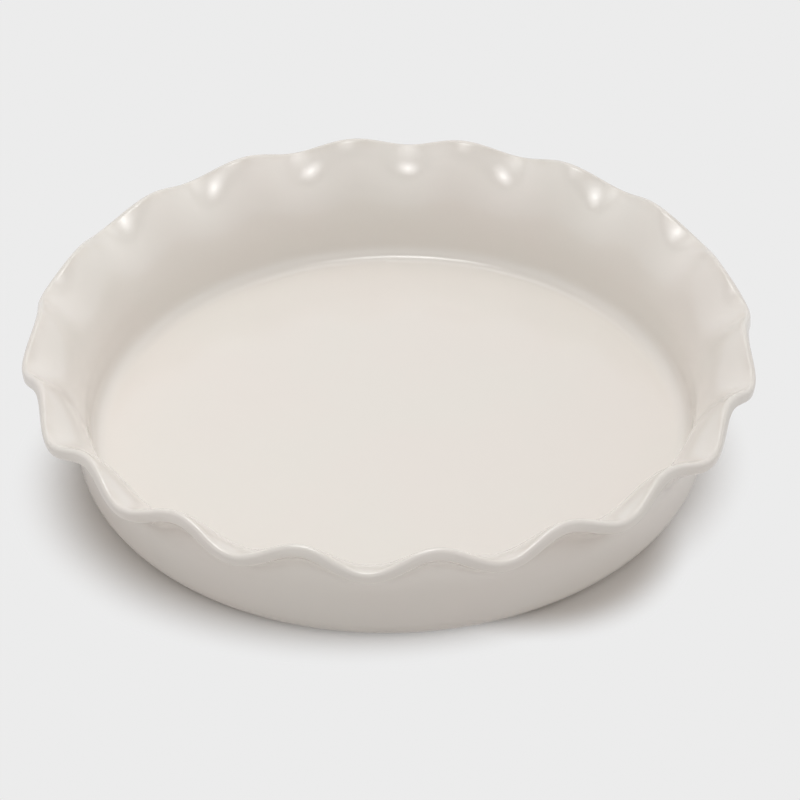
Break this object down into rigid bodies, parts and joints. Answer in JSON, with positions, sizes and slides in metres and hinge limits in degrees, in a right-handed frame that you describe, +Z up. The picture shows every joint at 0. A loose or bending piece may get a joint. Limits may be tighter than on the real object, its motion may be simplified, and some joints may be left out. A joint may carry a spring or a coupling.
{
  "type": "pie dish",
  "caption": "Round deep pie dish with a nearly upright wall, a flared and ruffled rim, a flat floor and a low foot ring, glossy warm white glaze all over.",
  "frame": {"origin": "centre of the base, in the plane that the foot ring rests on", "axes": "+Z up along the dish's axis; +X through the middle of one lobe of the ruffle"},
  "size_m": [0.2672, 0.2639, 0.0512],
  "materials": {
    "white_glaze": "glossy warm off-white glaze over stoneware, thinner and a little greyer on edges; bare matt buff clay on the ring that touches the table"
  },
  "bodies": {
    "root": {"pie_dish": "white_glaze"}
  },
  "joints": []
}
